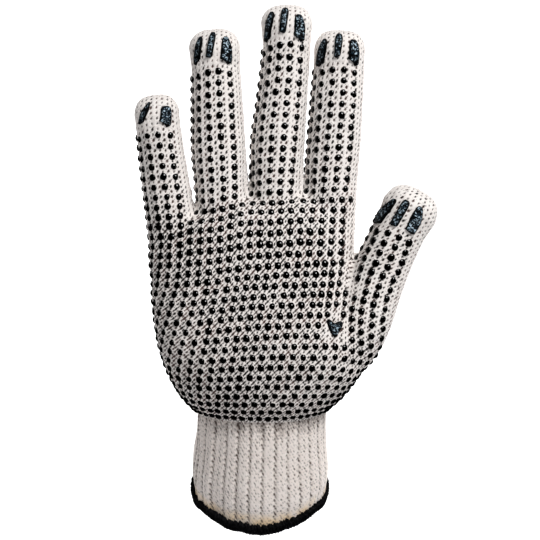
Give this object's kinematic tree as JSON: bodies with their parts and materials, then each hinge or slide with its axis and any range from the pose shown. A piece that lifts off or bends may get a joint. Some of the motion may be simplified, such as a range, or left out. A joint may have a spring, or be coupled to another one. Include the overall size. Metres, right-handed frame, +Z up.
{
  "type": "knit work glove",
  "caption": "Right-hand seamless string-knit work glove with a dotted grip palm, striped fingertip grips and a ribbed cuff with an overlocked hem, in its worn form and hollow for the hand.",
  "frame": {"origin": "middle of the cuff's open mouth, where the wrist goes in", "axes": "+Z up, from the mouth towards the fingers; -Y the way the palm faces, +Y the back of the hand; +X towards the thumb"},
  "size_m": [0.1374, 0.0742, 0.2437],
  "materials": {
    "knit": "natural white cotton string knit",
    "rib_knit": "ribbed cotton knit",
    "hem_thread": "black overlock thread",
    "grip": "moulded black PVC, half gloss"
  },
  "bodies": {
    "root": {"palm_and_back": "knit", "little_finger": "knit", "ring_finger": "knit", "middle_finger": "knit", "index_finger": "knit", "thumb": "knit", "rib_cuff": "rib_knit", "overlock_hem": "hem_thread", "little_finger_stripe_outer": "grip", "little_finger_stripe_inner": "grip", "ring_finger_stripe_outer": "grip", "ring_finger_stripe_centre": "grip", "ring_finger_stripe_inner": "grip", "middle_finger_stripe_outer": "grip", "middle_finger_stripe_centre": "grip", "middle_finger_stripe_inner": "grip", "index_finger_stripe_outer": "grip", "index_finger_stripe_centre": "grip", "index_finger_stripe_inner": "grip", "thumb_stripe_outer": "grip", "thumb_stripe_centre": "grip", "thumb_stripe_inner": "grip", "heart_pad": "grip"}
  },
  "joints": []
}
